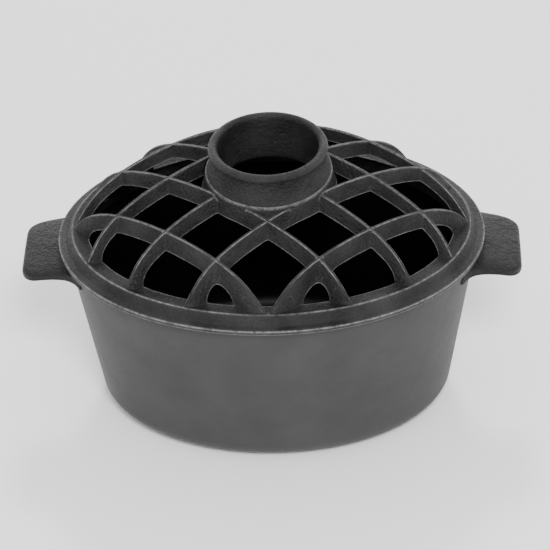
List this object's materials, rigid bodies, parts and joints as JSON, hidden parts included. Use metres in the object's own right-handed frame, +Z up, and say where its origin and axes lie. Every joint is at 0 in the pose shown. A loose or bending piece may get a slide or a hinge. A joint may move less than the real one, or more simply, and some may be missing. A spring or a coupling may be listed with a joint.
{
  "type": "stove steamer",
  "caption": "Oval cast iron stove steamer: tapered pot with two lug handles and a lift-off domed lattice lid with a round open collar.",
  "frame": {"origin": "middle of the flat underside of the pot", "axes": "+X through the two handles, +Y to the back, +Z up through the collar"},
  "size_m": [0.3048, 0.2002, 0.1833],
  "materials": {
    "pot_iron": "satin black, smooth cast wall",
    "lid_iron": "satin black, fine sand-cast grain"
  },
  "bodies": {
    "pot": {"pot": "pot_iron", "handle_left": "pot_iron", "handle_right": "pot_iron"},
    "lid": {"lid_rim": "lid_iron", "rib_a1": "lid_iron", "rib_a2": "lid_iron", "rib_a3_left": "lid_iron", "rib_a3_right": "lid_iron", "rib_a4": "lid_iron", "rib_a5": "lid_iron", "rib_b1": "lid_iron", "rib_b2": "lid_iron", "rib_b3_left": "lid_iron", "rib_b3_right": "lid_iron", "rib_b4": "lid_iron", "rib_b5": "lid_iron", "collar": "lid_iron"}
  },
  "joints": [
    {"name": "lid_lift", "type": "slide", "parent": "pot", "child": "lid", "axis": [0, 0, 1], "range_m": [0, 0.12]}
  ]
}
